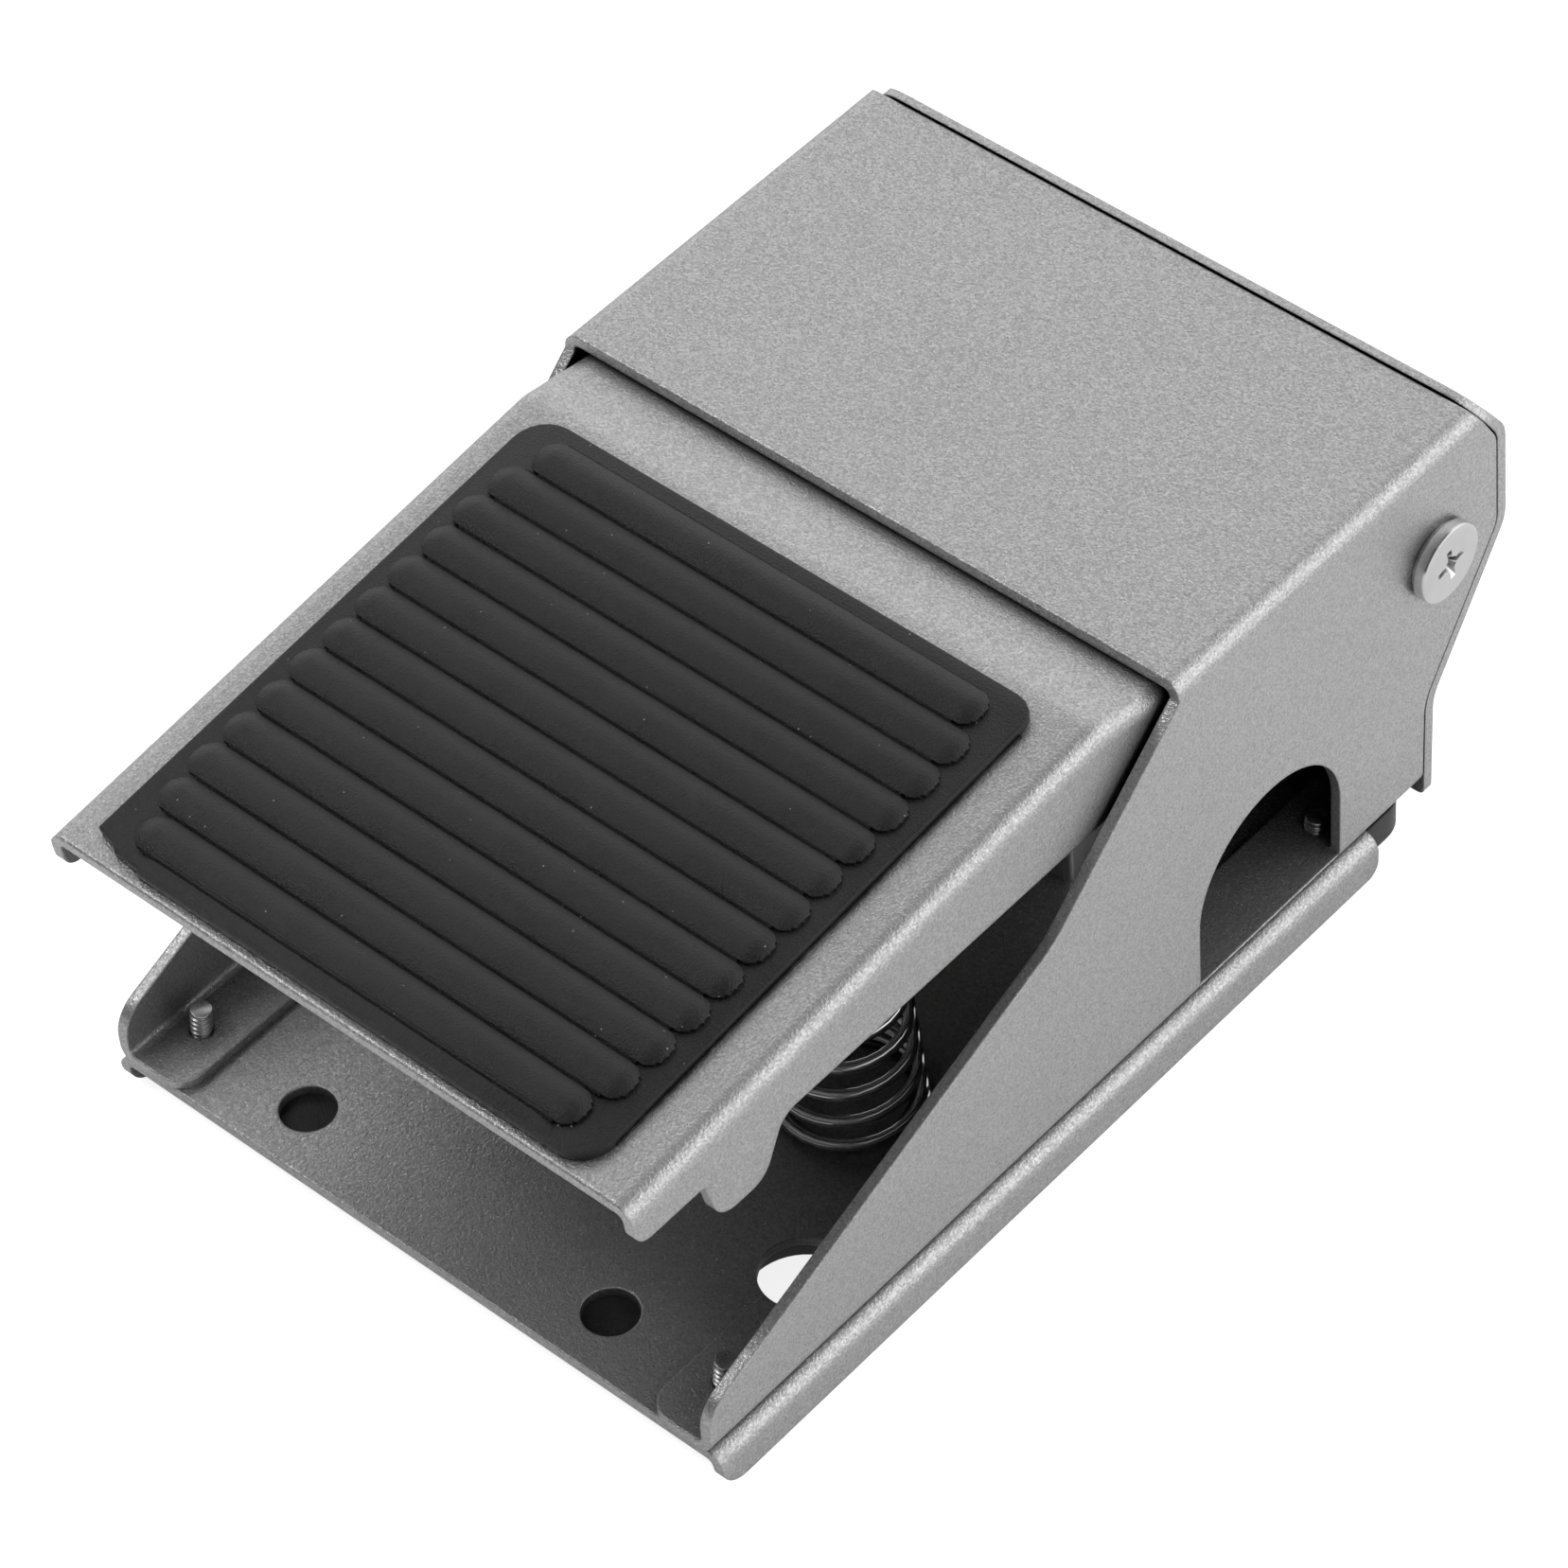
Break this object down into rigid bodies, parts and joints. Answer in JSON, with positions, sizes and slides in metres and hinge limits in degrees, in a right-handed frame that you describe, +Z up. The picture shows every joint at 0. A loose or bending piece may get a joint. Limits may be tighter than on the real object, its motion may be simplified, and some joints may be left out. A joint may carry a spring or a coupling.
{
  "type": "foot pedal air valve",
  "caption": "Foot-operated air valve: a ribbed rubber pedal hinged in a folded sheet housing pushes down a spool valve on a flat base, with arches in the side walls for tubing.",
  "frame": {"origin": "middle of the footprint, on the surface that the rubber mat stands on", "axes": "+X across the pedal to the right, +Y from the pedal's front edge to the rear cover, +Z up"},
  "size_m": [0.1002, 0.1542, 0.065],
  "materials": {
    "grey_paint": "fine-textured metallic grey powder coat",
    "mat_rubber": "matt black moulded rubber",
    "pad_rubber": "semi-matt black ribbed rubber",
    "seal_rubber": "smooth black seal rubber",
    "zinc_steel": "zinc-plated steel",
    "bright_screw": "bright nickel-plated steel",
    "turned_steel": "ground bright steel",
    "spring_steel": "bright drawn spring wire",
    "valve_aluminium": "machined aluminium",
    "spool_aluminium": "fine-turned aluminium",
    "bearing_plastic": "natural bearing plastic",
    "button_plastic": "black moulded plastic"
  },
  "bodies": {
    "frame": {"base_plate": "grey_paint", "rubber_mat": "mat_rubber", "housing_cover": "grey_paint", "rear_cover": "grey_paint", "housing_screws": "zinc_steel", "rear_cover_screws": "zinc_steel", "pivot_axle": "turned_steel", "pivot_screws": "bright_screw", "return_spring_left": "spring_steel", "return_spring_right": "spring_steel", "valve_body": "valve_aluminium", "valve_screws": "zinc_steel", "bottom_plug": "valve_aluminium", "plug_seal": "seal_rubber", "spool_spring": "spring_steel", "top_cap": "valve_aluminium", "cap_screws": "zinc_steel", "stem_seal": "seal_rubber"},
    "pedal": {"pedal_plate": "grey_paint", "pedal_pad": "pad_rubber", "pivot_bushes": "bearing_plastic"},
    "spool_group": {"spool": "spool_aluminium", "spool_seals": "seal_rubber", "plunger_button": "button_plastic"}
  },
  "joints": [
    {"name": "pedal_hinge", "type": "hinge", "parent": "frame", "child": "pedal", "pos_m": [0, 0.06338, 0.0456], "axis": [1, 0, 0], "range_deg": [0, 15.3], "stiffness_Nm_per_rad": 12, "springref_deg": -8.59, "deforming": ["return_spring_left", "return_spring_right"]},
    {"name": "spool_slide", "type": "slide", "parent": "frame", "child": "spool_group", "axis": [0, 0, -1], "range_m": [0, 0.00722], "stiffness_N_per_m": 500, "springref_m": -0.008, "deforming": ["spool_spring"]}
  ],
  "couplings": [
    {"joint": "spool_slide", "follows": "pedal_hinge", "m_per_rad": 0.027}
  ]
}
